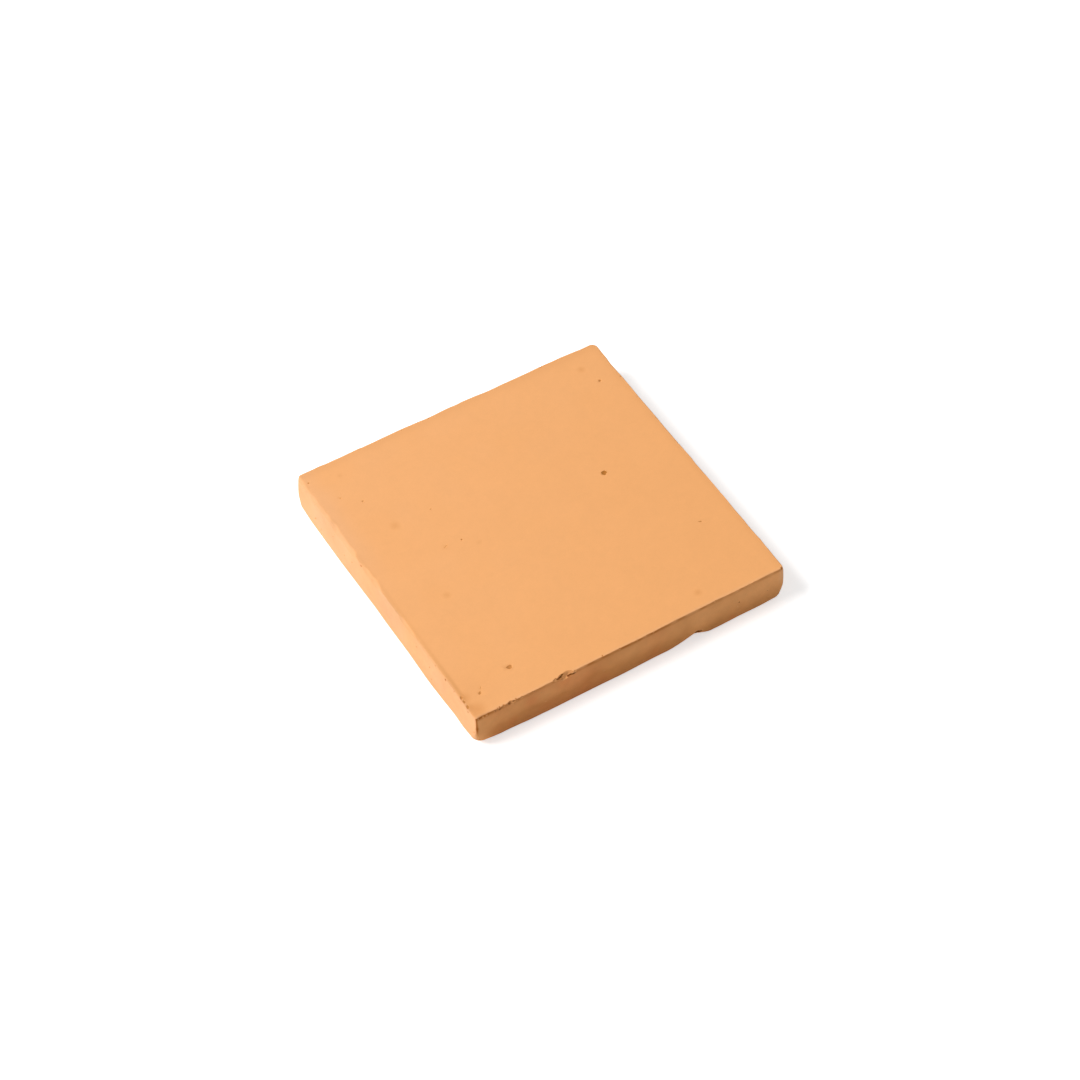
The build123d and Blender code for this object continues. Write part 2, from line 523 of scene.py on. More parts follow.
# %% [markdown]
# Where the skin changes. The rule that shaped the slab knows where every point lies, so it can also say
# which parts touched the mould, where dirt sits, where shade and sheen are painted, and where an edge
# crumbles.
# Such marks could be painted by hand; here each is a value from 0 to 1 that is kept on the mesh under a
# name, for the cutting and the colours to read. The first is 1 where the mould gave the skin and 0 on the
# trowelled face.

# %% Face and moulded sides
# How far the skin of the left side turns over the top edge, and the layers in which that wanders
LEFT_TURN = 1.4
LEFT_WANDER = ((1.2, 16, 28),)
EDGE_BLEND = 1.6


def uneven(layers):
    """Waves at the slab's own points."""
    return waves(slab_points, layers)


x, y, z = slab_points.T
away, sides, top, under, arris, foot = slab_parts(slab_points)
on_front = (away["front"] > away["left"]) & (away["front"] > away["right"])
on_left = (away["left"] > away["front"]) & (away["left"] > away["back"])
over_edge = on_left * (LEFT_TURN + uneven(LEFT_WANDER))
moulded = ease((sides - top + over_edge) / EDGE_BLEND + 0.5)
print("share of the points on moulded skin:", round(float(moulded.mean()), 3))

# %% [markdown]
# The dark line. The groove under the top edge gets painted shade, darker where the groove is deeper,
# and the mould's seam at the front corner gets dirt. The line could be painted along the edge, but the
# groove's own depth gives it, and the line moves with the groove.

# %% Painted shade in the groove, dirt in the seam
# How much painted shade the groove of each side gets
GROOVE_SHADE_SIDES = {"front": 1.0, "right": 0.5, "back": 0.3, "left": 0.0}
# Along the front, as pairs of x and a share
FRONT_GROOVE_SHADE = (
    (-195, 1.3), (-170, 0.85), (-145, 1.1), (-125, 0.45), (-60, 1.0), (-30, 1.1), (30, 1.1), (60, 1.4),
    (100, 0.65), (160, 0.5), (190, 0.8),
)
SEAM_DIRT = 0.95
SEAM_PLACE, SEAM_WIDTH = 2.2, 2.6
SEAM_FOOT, SEAM_FADE = 22.0, 10.0
GROOVE_SHADE_AND_DIRT_LEVEL = 0.9
GROOVE_SHADE_AND_DIRT_WAVES = ((0.4, 7, 21),)


def nearest_side(shares):
    """For each point, the share that belongs to the side it lies nearest to."""
    nearest = np.argmax(np.stack([away[name] for name in SIDES]), axis=0)
    return np.array([shares[name] for name in SIDES])[nearest]


groove_shade_and_seam_dirt = groove_share(slab_points) * nearest_side(GROOVE_SHADE_SIDES)
groove_shade_and_seam_dirt = np.where(on_front, groove_shade_and_seam_dirt * by_place(FRONT_GROOVE_SHADE, x), groove_shade_and_seam_dirt)
from_seam = np.abs(x + HALF - SEAM_PLACE)
seam = SEAM_DIRT * ease(1 - from_seam / SEAM_WIDTH) * ease((z - SEAM_FOOT) / SEAM_FADE)
groove_shade_and_seam_dirt = np.maximum(groove_shade_and_seam_dirt, seam * on_front * (y < 0))
# The groove's painted shade and the seam's dirt, on the moulded skin only
groove_shade_and_dirt = moulded * groove_shade_and_seam_dirt * (GROOVE_SHADE_AND_DIRT_LEVEL + uneven(GROOVE_SHADE_AND_DIRT_WAVES))
print("dirt on average:", round(float(groove_shade_and_dirt.mean()), 3))

# %% [markdown]
# Painted shade on the sides. Near the ground less light reaches the sides, so they are painted darkest at
# the foot and lighter upwards along an uneven line, with random blotches. A gradient would do for one
# side; here each side has its own strength, and the front and the left one change along their length.

# %% Painted shade on the sides
# How high the painted shade at the foot reaches, and how softly it fades
FOOT_SHADE_HEIGHT = 38.0
FOOT_SHADE_FADE = 30.0
# Along the front, as pairs of x and a share: painted shade all over, and painted shade at the foot
FRONT_SHADE = (
    (-195, 0.15), (-170, 0.50), (-130, 0.55), (-110, 0.35), (-90, 0.48), (-70, 0.36), (-50, 0.80),
    (-30, 0.70), (-10, 0.45), (30, 0.50), (50, 0.35), (70, 0.45), (90, 0.15), (110, 0.35), (130, 0.15),
    (160, 0.10), (190, 0.0),
)
FRONT_FOOT = ((-192, 0.0), (-172, 1.0), (-150, 0.95), (20, 0.95), (80, 0.75), (190, 0.6))
# Along the left side, as pairs of y and a share
LEFT_SHADE = ((-200, 0.05), (-165, 0.12), (-120, 0.28), (-60, 0.28), (0, 0.26), (60, 0.16), (HALF, 0.14))
# The same for the two sides that are even along their length, and how blotched each side is
SIDE_SHADE = {"front": 0.0, "right": 0.25, "back": 0.20, "left": 0.0}
SIDE_FOOT = {"front": 0.0, "right": 0.60, "back": 0.45, "left": 0.0}
SIDE_BLOTCHES = {"front": 0.4, "right": 1.0, "back": 0.8, "left": 0.2}
SHADE_LINE_WAVES = ((5.0, 45, 22), (2.5, 14, 23))
BLOTCHES = ((0.4, 27, 24), (0.15, 10, 25))

shade_top = FOOT_SHADE_HEIGHT + uneven(SHADE_LINE_WAVES)
all_over = np.where(on_front, by_place(FRONT_SHADE, x), nearest_side(SIDE_SHADE))
all_over = np.where(on_left, by_place(LEFT_SHADE, y), all_over)
at_foot = np.where(on_front, by_place(FRONT_FOOT, x), nearest_side(SIDE_FOOT))
at_foot = at_foot * ease((shade_top - z) / FOOT_SHADE_FADE)
blotches = uneven(BLOTCHES) * nearest_side(SIDE_BLOTCHES)
# Painted shade on the moulded skin, with random blotches
painted_shade_and_wear = moulded * np.maximum(all_over + at_foot + blotches, 0)
print("damp on the sides, on average:", round(float(painted_shade_and_wear[moulded > 0.5].mean()), 3))

# %% [markdown]
# Dark edges. Hands and other slabs rub the edges of the face, which leaves faint bands along the back and
# the right and a darker line beside the left edge. The rounded top edges get painted shade, most of all
# the left one, where it tones down the lamp's light. All take the same tint as the painted shade of the
# sides, so they are added to it instead of getting a value of their own.

# %% Rubbed bands along the edges of the face, and painted shade on the rounded edges
# Bands along two edges: how dark and how wide
DARK_BANDS = {"back": (0.16, 16.0), "right": (0.14, 12.0)}
# How much painted shade a rounded top edge gets, and how soon that reaches its full strength
EDGE_SHADE = {"front": 0.0, "right": 0.1, "back": 0.1, "left": 0.20}
EDGE_SHADE_RISE = 0.18
# The line beside the left edge, as pairs of y and a share
LEFT_LINE = ((-175, 0.1), (-160, 0.5), (-125, 0.38), (-90, 0.18), (60, 0.10), (130, 0.0))
LEFT_LINE_PLACE, LEFT_LINE_WIDTH = 4.0, 4.0

for name, (strength, width) in DARK_BANDS.items():
    painted_shade_and_wear = painted_shade_and_wear + (1 - moulded) * strength * ease(1 + away[name] / width)
rounded = ease((1 - (np.abs(sides) + np.abs(top)) / arris) / EDGE_SHADE_RISE)
# Painted shade on the rounded top edges
painted_shade_and_wear = painted_shade_and_wear + nearest_side(EDGE_SHADE) * rounded
line = ease(1 - np.abs(away["left"] + LEFT_LINE_PLACE) / LEFT_LINE_WIDTH)
painted_shade_and_wear = painted_shade_and_wear + (1 - moulded) * line * by_place(LEFT_LINE, y)
print("dark on the face, on average:", round(float(painted_shade_and_wear[moulded < 0.5].mean()), 3))

# %% [markdown]
# Rust. The oxide that colours the concrete is not quite even, so the front side turns redder in places.
# It could come from noise alone, but the real slab shows these patches, so the larger ones are placed.
# The painted shade at the foot is tinted redder as well.

# %% Rusty patches on the front, and red painted shade at the foot
# Along the front, as pairs of x and a share, and how much the painted shade at the foot turns red
FRONT_RUST = (
    (-195, 0.0), (-170, 0.4), (-145, 0.2), (-130, 0.5), (-90, 0.5), (-60, 0.8), (-30, 0.2), (0, 0.05),
    (30, 0.35), (60, 0.0),
)
FOOT_SHADE_RED = 0.25
RUST_WAVES = ((0.5, 16, 27),)
# Patches: x, height, radius and strength
RUST_PATCHES = [
    (-153.5, 17.0, 11.0, 0.7), (-59.8, 8.0, 14.0, 0.6), (-38.0, 14.0, 12.0, 0.6), (28.0, 15.0, 10.0, 0.5),
    (129.6, 8.0, 7.0, 0.8), (-130.0, 38.0, 12.0, 0.5), (-90.0, 40.0, 14.0, 0.5),
]

# Rust, and a red tint on the painted shade at the foot
rust_and_foot_shade = on_front * by_place(FRONT_RUST, x) + FOOT_SHADE_RED * at_foot
for place, height, radius, strength in RUST_PATCHES:
    rust_and_foot_shade = rust_and_foot_shade + on_front * strength * ease(1 - np.hypot(x - place, z - height) / radius)
rust_and_foot_shade = moulded * rust_and_foot_shade * (1 + uneven(RUST_WAVES))
print("rust on the front, on average:", round(float(rust_and_foot_shade[on_front].mean()), 3))

# %% [markdown]
# Painted sheen. The side towards the lamp is painted paler, as its sheen makes it look, and painted
# highlights lie on the left and back of the face, beside the front edge and at the right end of the front.
# It fades over whole faces, so it is worked out from the distance to the edges.

# %% Painted sheen and highlights
# How strong the painted sheen is on each side
SHEEN_SIDES = {"front": 0.0, "right": 0.1, "back": 0.2, "left": 0.55}
SHEEN_ON_FACE = 0.14
SHEEN_WAVES = ((0.3, 30, 26),)
# How much stronger the painted sheen of the sides is at the back than in the middle
SHEEN_GROWTH = 0.12
# Painted highlights on the face and the front: along the left edge, along the front edge, and at the right
# corner
LEFT_BAND, LEFT_BAND_WIDTH = 0.20, 32.0
LEFT_BAND_START, LEFT_BAND_FADE = -20.0, 100.0
FRONT_RIM, FRONT_RIM_WIDTH = 0.28, 5.0
PALE_CORNER, PALE_CORNER_WIDTH = 0.9, 12.0
PALE_CORNER_FOOT, PALE_CORNER_FADE = 24.0, 12.0

on_face = SHEEN_ON_FACE * ease(0.5 - (x - y) / (4 * HALF))
beside_left = ease(1 + away["left"] / LEFT_BAND_WIDTH) * ease((y - LEFT_BAND_START) / LEFT_BAND_FADE)
on_face = on_face + LEFT_BAND * beside_left
on_face = on_face + FRONT_RIM * ease(1 + away["front"] / FRONT_RIM_WIDTH)
on_side = nearest_side(SHEEN_SIDES) * (1 + SHEEN_GROWTH * y / HALF)
pale_corner = ease((x - HALF) / PALE_CORNER_WIDTH + 1) * ease((z - PALE_CORNER_FOOT) / PALE_CORNER_FADE)
on_side = on_side + PALE_CORNER * on_front * pale_corner
# Painted sheen and highlights on the sides and the face
painted_sheen = (moulded * on_side + (1 - moulded) * on_face) * (1 + uneven(SHEEN_WAVES))
print("bloom on the left side, on average:", round(float(painted_sheen[on_left & (moulded > 0.5)].mean()), 3))

# %% [markdown]
# Crumbling. The top edges lose grains, here and there on every side and all along the front corner, which
# has been knocked most. This value doesn't colour anything: it says how thickly the crumbs below are
# strewn. The pinholes lie wherever the mould gave the skin.

# %% Crumbling edges, and all the values kept on the mesh
CRUMBLE_SIDES = {"front": 0.03, "right": 0.04, "back": 0.05, "left": 0.05}
CRUMBLE_PATCH = 60.0
CRUMBLE_CORE = 1.4
CRUMBLE_REACH = 2.2
CRUMBLE_OFF_FRONT = 0.03

at_arris = ease(1 - (np.abs(sides) + np.abs(top)) / CRUMBLE_REACH)
from_front_corner = np.hypot(x + HALF, y + HALF)
patch = ease(CRUMBLE_CORE - from_front_corner / CRUMBLE_PATCH) * np.where(on_front, 1, CRUMBLE_OFF_FRONT)
crumble = at_arris * np.maximum(nearest_side(CRUMBLE_SIDES), patch)
skin = {
    "moulded": moulded, "groove_shade_and_dirt": groove_shade_and_dirt, "painted_shade_and_wear": painted_shade_and_wear, "rust_and_foot_shade": rust_and_foot_shade, "painted_sheen": painted_sheen, "crumble": crumble,
}
for name, values in skin.items():
    layer = slab.data.attributes.new(name, "FLOAT", "POINT")
    layer.data.foreach_set("value", np.clip(values, 0, 1).astype(np.float32))
print("values kept on the mesh:", list(skin))

# %% [markdown]
# The damage. Air bubbles leave round holes in the face, knocks break pieces from the edges, and handling
# crumbles them. Each is a rough lump taken out of the slab. Sculpting would do it by hand once; here the
# lumps are cut by Geometry Nodes, so that a size, a place or a seed can be changed at any time. The large
# ones have places of their own, and the small ones fall where the values for crumbling and moulded skin
# allow.

# %% Holes and breaks with a place of their own
# Kinds of lump: all but the fresh break leave a hollow that gets painted shade
FRESH, DARKENED, HOLE, DIMPLE = 0, 1, 2, 3
# Shallow marks in the top face: x, y, length, width, depth, heading in degrees and kind
FACE_MARKS = [
    (101.0, 21.7, 7.6, 6.2, 0.8, 30, HOLE), (-131.2, -156.8, 7.0, 5.4, 0.8, 20, DIMPLE),
    (-133.4, -156.0, 4.4, 3.6, 0.40, 0, DIMPLE), (172.3, 144.0, 4.2, 3.8, 0.6, 60, DIMPLE),
    (-176.4, -169.4, 4.6, 4.2, 0.4, 60, DIMPLE), (153.9, -94.2, 6.0, 2.6, 0.25, -31, DIMPLE),
    (-192.3, 183.0, 3.0, 2.6, 0.35, 0, DIMPLE), (-152.7, 128.0, 2.0, 1.8, 0.3, 0, DIMPLE),
    (-172.3, 145.1, 1.7, 1.5, 0.16, 0, DIMPLE), (-86.1, 22.0, 2.4, 2.2, 0.7, 0, DIMPLE),
    (-104.7, 23.6, 9.5, 1.3, 0.16, 26, DIMPLE), (-93.6, 78.1, 2.8, 1.6, 0.25, -20, DIMPLE),
    (-171.6, -163.0, 6.0, 1.4, 0.2, 58, DIMPLE), (-196.4, -164.8, 4.4, 3.4, 0.6, 60, DIMPLE),
    (-197.0, -171.0, 4.0, 3.0, 0.5, 100, DIMPLE), (-197.2, -178.8, 5.0, 3.6, 0.7, 80, DIMPLE),
]
# Small holes in the sides: x, y, height and width
SIDE_HOLES = [(138.0, -200.2, 29.2, 2.8), (-200.2, 155.1, 21.2, 2.4)]
# Where flakes broke off the top edge: x, y, how far below the face, and each lump's length, width and height
FRESH_BREAKS = [
    (-87.0, -204.9, -7.0, 35.0, 28.0, 28.0), (-98.0, -201.8, -4.6, 16.0, 16.0, 16.0),
    (-74.0, -203.2, -6.4, 18.0, 18.0, 18.0), (-153.5, -203.8, -4.5, 19.5, 19.6, 19.6),
]
# Breaks at the top edges whose hollows get painted shade, in the same order
DARKENED_BREAKS = [
    (-142.3, -198.6, 0.8, 6.0, 3.0, 4.0), (-188.6, -198.0, 1.0, 5.0, 3.0, 3.4),
    (-182.3, -198.2, 1.0, 5.0, 2.8, 3.4), (-168.0, -198.8, 0.9, 7.0, 2.4, 3.0),
    (195.4, -197.2, 0.6, 4.4, 3.6, 3.6), (-156.0, -197.0, 1.8, 4.4, 3.4, 3.4),
    (-150.5, -198.0, 1.6, 6.0, 2.4, 2.4),
    (-82.0, -197.0, 4.8, 4.0, 2.6, 2.4), (-94.0, -196.6, 2.0, 5.0, 3.0, 3.0),
]
# Cracks deep in the breaks and in the nick, whose hollows get the darkest painted shade, in the same order
CRACKS = [
    (-91.2, -195.4, 2.1, 3.6, 2.2, 2.4), (-88.8, -194.4, 1.1, 3.2, 2.0, 2.2),
    (-79.4, -197.2, 3.6, 12.0, 2.4, 2.2), (-95.2, -196.8, 1.4, 4.0, 2.4, 2.6),
    (82.8, -200.0, 36.2, 6.4, 14.0, 3.6), (87.0, -200.0, 38.4, 5.4, 14.0, 3.0),
]
# A mark's lump hangs above the face, so that only its lowest third cuts and the rim is shallow
MARK_SPREAD = 1.34
MARK_LIFT = 2.0


def carve_points():
    """Points that stand for the placed holes and breaks, each with its size, its heading and its kind."""
    rows = []
    for x, y, length, width, depth, heading, kind in FACE_MARKS:
        size = (length * MARK_SPREAD, width * MARK_SPREAD, 2 * depth * (1 + MARK_LIFT))
        rows.append(((x, y, THICK + MARK_LIFT * depth), size, heading, kind))
    for x, y, z, width in SIDE_HOLES:
        rows.append(((x, y, z), (width, width, width), 0, DIMPLE))
    breaks = {FRESH: FRESH_BREAKS, DARKENED: DARKENED_BREAKS, HOLE: CRACKS}
    for kind, places in breaks.items():
        for x, y, drop, length, width, height in places:
            rows.append(((x, y, THICK - drop), (length, width, height), 0, kind))
    mesh = bpy.data.meshes.new("carve_points")
    mesh.from_pydata([Vector(row[0]) * MM + Vector((0, 0, low.z)) for row in rows], [], [])
    sizes = mesh.attributes.new("size", "FLOAT_VECTOR", "POINT")
    sizes.data.foreach_set("vector", [side * MM for place, size, heading, kind in rows for side in size])
    headings = mesh.attributes.new("heading", "FLOAT", "POINT")
    headings.data.foreach_set("value", [math.radians(heading) for place, size, heading, kind in rows])
    kinds = mesh.attributes.new("kind", "INT", "POINT")
    kinds.data.foreach_set("value", [kind for place, size, heading, kind in rows])
    return new_object("carve_points", mesh)


points = carve_points()
print(len(points.data.vertices), "placed holes and breaks")

# %% [markdown]
# The lumps. A plain ball leaves a hole like a drill's. So each lump is a ball whose points are pushed in
# and out along their own radius by noise, which keeps it closed and free of folds. There are four kinds,
# from the wide smooth flake of a fresh break to the little hole with the darkest painted shade, and five
# shapes of each to choose from.

# %% The lumps that are taken out
LUMPS = 5
# For each kind of lump: its roughness, how fine that is, how much painted shade its hollow gets, and its
# detail
LUMP_KINDS = {
    FRESH: (0.32, 4.5, 0.0, 5),
    DARKENED: (1.2, 2.2, 0.5, 3),
    HOLE: (0.8, 2.2, 1.0, 3),
    DIMPLE: (0.9, 2.2, 0.6, 4),
}
SMALL_LUMP_DETAIL = 2
# Where in the noise a lump is taken from, how far apart the lumps and the kinds lie there, and its detail
NOISE_Y, NOISE_Z = 3.1, 5.7
LUMPS_APART, KINDS_APART = 7.3, 20.0
NOISE_DETAIL = 3.0


def marked(tree, geometry, name, value):
    """The same geometry with a value kept on its faces."""
    inputs = {"Geometry": geometry, "Name": name, "Value": value}
    return add(tree, "GeometryNodeStoreNamedAttribute", inputs, domain="FACE").outputs[0]


def lumps(tree, kind, material, small=False):
    """Rough balls one metre across, all different, marked as cut and with the painted shade of their hollow.
    """
    roughness, fineness, darkness, detail = LUMP_KINDS[kind]
    detail = SMALL_LUMP_DETAIL if small else detail
    together = add(tree, "GeometryNodeJoinGeometry")
    for number in range(LUMPS):
        ball = add(tree, "GeometryNodeMeshIcoSphere", {"Radius": 0.5, "Subdivisions": detail})
        place = add(tree, "GeometryNodeInputPosition").outputs[0]
        shift = (LUMPS_APART * number, NOISE_Y, NOISE_Z + KINDS_APART * kind)
        shifted = add(tree, "ShaderNodeVectorMath", {0: place, 1: shift}).outputs[0]
        grains = {"Vector": shifted, "Scale": fineness, "Detail": NOISE_DETAIL}
        noise = add(tree, "ShaderNodeTexNoise", grains).outputs[0]
        swell = maths(tree, "MULTIPLY", maths(tree, "SUBTRACT", noise, 0.5), roughness)
        push = add(tree, "ShaderNodeVectorMath", {0: place, "Scale": swell}, operation="SCALE").outputs[0]
        moved = {"Geometry": ball.outputs["Mesh"], "Offset": push}
        rough = add(tree, "GeometryNodeSetPosition", moved).outputs[0]
        hollow = marked(tree, marked(tree, rough, "cut", 1.0), "hollow", darkness)
        coated = add(tree, "GeometryNodeSetMaterial", {"Geometry": hollow, "Material": material})
        single = add(tree, "GeometryNodeGeometryToInstance", {0: coated.outputs[0]})
        feed(tree, together, {0: single.outputs[0]})
    return together.outputs[0]


print(len(LUMP_KINDS), "kinds of lump,", LUMPS, "shapes of each")

# %% [markdown]
# Where the lumps go. Instance on Points sets a lump on every point it is given. The placed ones read
# their size and heading from their point. The scattered ones get random sizes, most of them small, and
# Distribute Points on Faces strews them by the values kept on the mesh.

# %% Placed and scattered lumps
# Of scattered lumps: how far they are stretched, how rare large ones are, and the seeds of size, stretch,
# turn and shape
STRETCH = (0.7, 1.4)
RARENESS = 2.0
SIZE_SEED, STRETCH_SEED, TURN_SEED, SHAPE_SEED = 31, 32, 33, 34


def random_lump(tree, seed):
    """Which of the lumps a point takes."""
    inputs = {4: 0, 5: LUMPS - 1, "Seed": seed}
    return add(tree, "FunctionNodeRandomValue", inputs, data_type="INT").outputs[2]


def random_vector(tree, smallest, largest, seed):
    """Three random values for each point."""
    inputs = {0: (smallest,) * 3, 1: (largest,) * 3, "Seed": seed}
    return add(tree, "FunctionNodeRandomValue", inputs, data_type="FLOAT_VECTOR").outputs[0]


def named(tree, name, kind="FLOAT"):
    """A value kept on the mesh under a name."""
    return add(tree, "GeometryNodeInputNamedAttribute", {"Name": name}, data_type=kind).outputs["Attribute"]


def placed(tree, places, kind, shapes, seed):
    """Lumps at the points of one kind, with the size and heading each point gives."""
    same_kind = {2: named(tree, "kind", "INT"), 3: kind}
    wanted = add(tree, "FunctionNodeCompare", same_kind, data_type="INT", operation="EQUAL")
    heading = add(tree, "ShaderNodeCombineXYZ", {"Z": named(tree, "heading")})
    rotation = add(tree, "FunctionNodeEulerToRotation", {0: heading.outputs[0]})
    inputs = {
        "Points": places, "Selection": wanted.outputs[0], "Instance": shapes, "Pick Instance": True,
        "Instance Index": random_lump(tree, seed), "Rotation": rotation.outputs[0],
        "Scale": named(tree, "size", "FLOAT_VECTOR"),
    }
    return add(tree, "GeometryNodeInstanceOnPoints", inputs).outputs[0]


def scattered(tree, body, mask, density, smallest, largest, seed, shapes):
    """Lumps scattered over the slab where a named value allows, most of them small."""
    often = maths(tree, "MULTIPLY", named(tree, mask), density)
    spread = add(tree, "GeometryNodeDistributePointsOnFaces", {"Mesh": body, "Density": often, "Seed": seed})
    chance = add(tree, "FunctionNodeRandomValue", {2: 0.0, 3: 1.0, "Seed": SIZE_SEED}).outputs[1]
    rare = maths(tree, "POWER", chance, RARENESS)
    size = add(tree, "ShaderNodeMapRange", {"Value": rare, "To Min": smallest, "To Max": largest}).outputs[0]
    shape = {0: random_vector(tree, *STRETCH, STRETCH_SEED), "Scale": size}
    scale = add(tree, "ShaderNodeVectorMath", shape, operation="SCALE")
    turned = random_vector(tree, 0.0, 2 * math.pi, TURN_SEED)
    rotation = add(tree, "FunctionNodeEulerToRotation", {0: turned})
    inputs = {
        "Points": spread.outputs["Points"], "Instance": shapes, "Pick Instance": True,
        "Instance Index": random_lump(tree, SHAPE_SEED), "Rotation": rotation.outputs[0],
        "Scale": scale.outputs[0],
    }
    return add(tree, "GeometryNodeInstanceOnPoints", inputs).outputs[0]


print("ways to set the lumps:", placed.__name__, scattered.__name__)

# %% [markdown]
# The cut. One Boolean takes all the lumps out at once. Its Manifold solver is quick and leaves a closed
# mesh, and it carries the marks of the lumps over to the faces they cut, so the broken concrete can get a
# material of its own.

# %% The tree that cuts the damage
SMALLEST_LUMP = 0.6 * MM


def carve_tree():
    """Geometry Nodes that take the placed and the scattered lumps out of the slab."""
    inputs = {
        "Slab": "NodeSocketGeometry", "Places": "NodeSocketObject", "Crumb Density": "NodeSocketFloat",
        "Largest Crumb": "NodeSocketFloat", "Pinhole Density": "NodeSocketFloat",
        "Largest Pinhole": "NodeSocketFloat", "Seed": "NodeSocketInt", "Skin": "NodeSocketMaterial",
        "Broken": "NodeSocketMaterial",
    }
    outputs = {"Carved": "NodeSocketGeometry"}
    tree, given, output = new_group("GeometryNodeTree", "carve_damage", inputs, outputs)
    body, seed, broken = given["Slab"], given["Seed"], given["Broken"]
    places = add(tree, "GeometryNodeObjectInfo", {"Object": given["Places"]}).outputs["Geometry"]
    cutters = add(tree, "GeometryNodeJoinGeometry")
    for kind in LUMP_KINDS:
        feed(tree, cutters, {0: placed(tree, places, kind, lumps(tree, kind, broken), seed)})
    for name, mask, kind in (("Crumb", "crumble", DARKENED), ("Pinhole", "moulded", HOLE)):
        density, largest = given[name + " Density"], given["Largest " + name]
        small = lumps(tree, kind, broken, small=True)
        feed(tree, cutters, {0: scattered(tree, body, mask, density, SMALLEST_LUMP, largest, seed, small)})
    cut = add(tree, "GeometryNodeMeshBoolean", operation="DIFFERENCE", solver="MANIFOLD")
    feed(tree, cut, {"Mesh 1": body, "Mesh 2": cutters.outputs[0]})
    whole = add(tree, "GeometryNodeRealizeInstances", {"Geometry": cut.outputs["Mesh"]})
    coat = {"Geometry": whole.outputs[0], "Material": given["Skin"]}
    skinned = add(tree, "GeometryNodeSetMaterial", coat).outputs[0]
    is_cut = maths(tree, "GREATER_THAN", named(tree, "cut"), 0.5)
    coat = {"Geometry": skinned, "Selection": is_cut, "Material": broken}
    feed(tree, output, {0: add(tree, "GeometryNodeSetMaterial", coat).outputs[0]})
    return tree


cutting = carve_tree()
print("cutting tree:", len(cutting.nodes), "nodes")

# %% [markdown]
# The tree is put to work as a modifier, with its sizes given by the name of each input. The result is
# kept as a plain mesh, because the export knows nothing of live modifiers, and the points that placed the
# lumps have done their work.

# %% Cut the slab
concrete = bpy.data.materials.new("concrete_skin")
broken_concrete = bpy.data.materials.new("broken_concrete")
slab.data.materials.append(concrete)
carve_settings = {
    "Places": points, "Crumb Density": 350000.0, "Largest Crumb": 2.4 * MM, "Pinhole Density": 500.0,
    "Largest Pinhole": 1.8 * MM, "Seed": 7, "Skin": concrete, "Broken": broken_concrete,
}
carve = slab.modifiers.new("carve", "NODES")
carve.node_group = cutting
for item in cutting.interface.items_tree:
    if item.name in carve_settings:
        carve[item.identifier] = carve_settings[item.name]
slab.update_tag()
evaluated = slab.evaluated_get(bpy.context.evaluated_depsgraph_get())
carved = bpy.data.meshes.new_from_object(evaluated)
slab.modifiers.remove(carve)
slab.data = carved
bpy.data.objects.remove(points)
print("values kept:", sorted(layer.name for layer in carved.attributes if not layer.name.startswith(".")))
print("materials:", [m.name for m in carved.materials])

# %% [markdown]
# Loose bits. Where two lumps meet, the cut can leave a grain of concrete that hangs in the air. On the
# real slab a brush takes such grains off. Merging by distance would weld them on, so everything that
# isn't joined to the largest piece is deleted. A point where only two edges meet would turn into a sliver
# when the faces are made triangles, so such points are dissolved.

# %% Brush off the loose bits
SLIVER_PASSES = 3
SHARP_EDGE = math.radians(50)


def loose_bits(bm):
    """The points of every piece but the largest, found by walking along the edges."""
    unseen = set(bm.verts)
    largest = set()
    while unseen:
        piece = set()
        reached = {next(iter(unseen))}
        while reached:
            piece |= reached
            reached = {edge.other_vert(vert) for vert in reached for edge in vert.link_edges} - piece
        unseen -= piece
        largest = max(largest, piece, key=len)
    return [vert for vert in bm.verts if vert not in largest]


bm = bmesh.new()
bm.from_mesh(carved)
loose = loose_bits(bm)
bmesh.ops.delete(bm, geom=loose, context="VERTS")
for _ in range(SLIVER_PASSES):
    bmesh.ops.dissolve_verts(bm, verts=[vert for vert in bm.verts if len(vert.link_edges) == 2])
print(len(loose), "loose points,", sum(not edge.is_manifold for edge in bm.edges), "open edges")
bm.to_mesh(carved)
bm.free()
carved.shade_smooth()
carved.set_sharp_from_angle(angle=SHARP_EDGE)
triangles = sum(len(face.vertices) - 2 for face in carved.polygons)
print("carved mesh:", len(carved.vertices), "points,", triangles, "triangles")

# %% [markdown]
# The colour. This concrete is coloured all through with iron oxide, so its shade hardly changes, and yet
# no two palms of it are alike: cement clouds drift through it and single grains of sand show. A
# photograph could be laid on it, but noise made by nodes is sharp at any distance and fits every side
# without a seam. The effect is made once, as a node group, and the skin and the broken parts share it.

# %% A group for cement tones


def cement_tone():
    """A group that varies a colour as cement does: broad clouds, a finer mottle and single grains."""
    inputs = {"Vector": "NodeSocketVector", "Colour": "NodeSocketColor"}
    # Each layer's width and detail
    layers = {"Clouds": (45 * MM, 3.0), "Mottle": (9 * MM, 2.0), "Grains": (1.3 * MM, 1.0)}
    inputs.update({name: "NodeSocketFloat" for name in layers})
    tree, given, output = new_group("ShaderNodeTree", "cement_tone", inputs, {"Colour": "NodeSocketColor"})
    level = 1.0
    for name, (width, detail) in layers.items():
        settings = {"Vector": given["Vector"], "Scale": 1 / width, "Detail": detail}
        centred = maths(tree, "SUBTRACT", add(tree, "ShaderNodeTexNoise", settings).outputs[0], 0.5)
        level = maths(tree, "ADD", level, maths(tree, "MULTIPLY", centred, given[name]))
    toned = add(tree, "ShaderNodeVectorMath", {0: given["Colour"], "Scale": level}, operation="SCALE")
    feed(tree, output, {0: toned.outputs[0]})
    return tree


CEMENT_TONE = cement_tone()
print("group:", CEMENT_TONE.name, "with", len(CEMENT_TONE.nodes), "nodes")

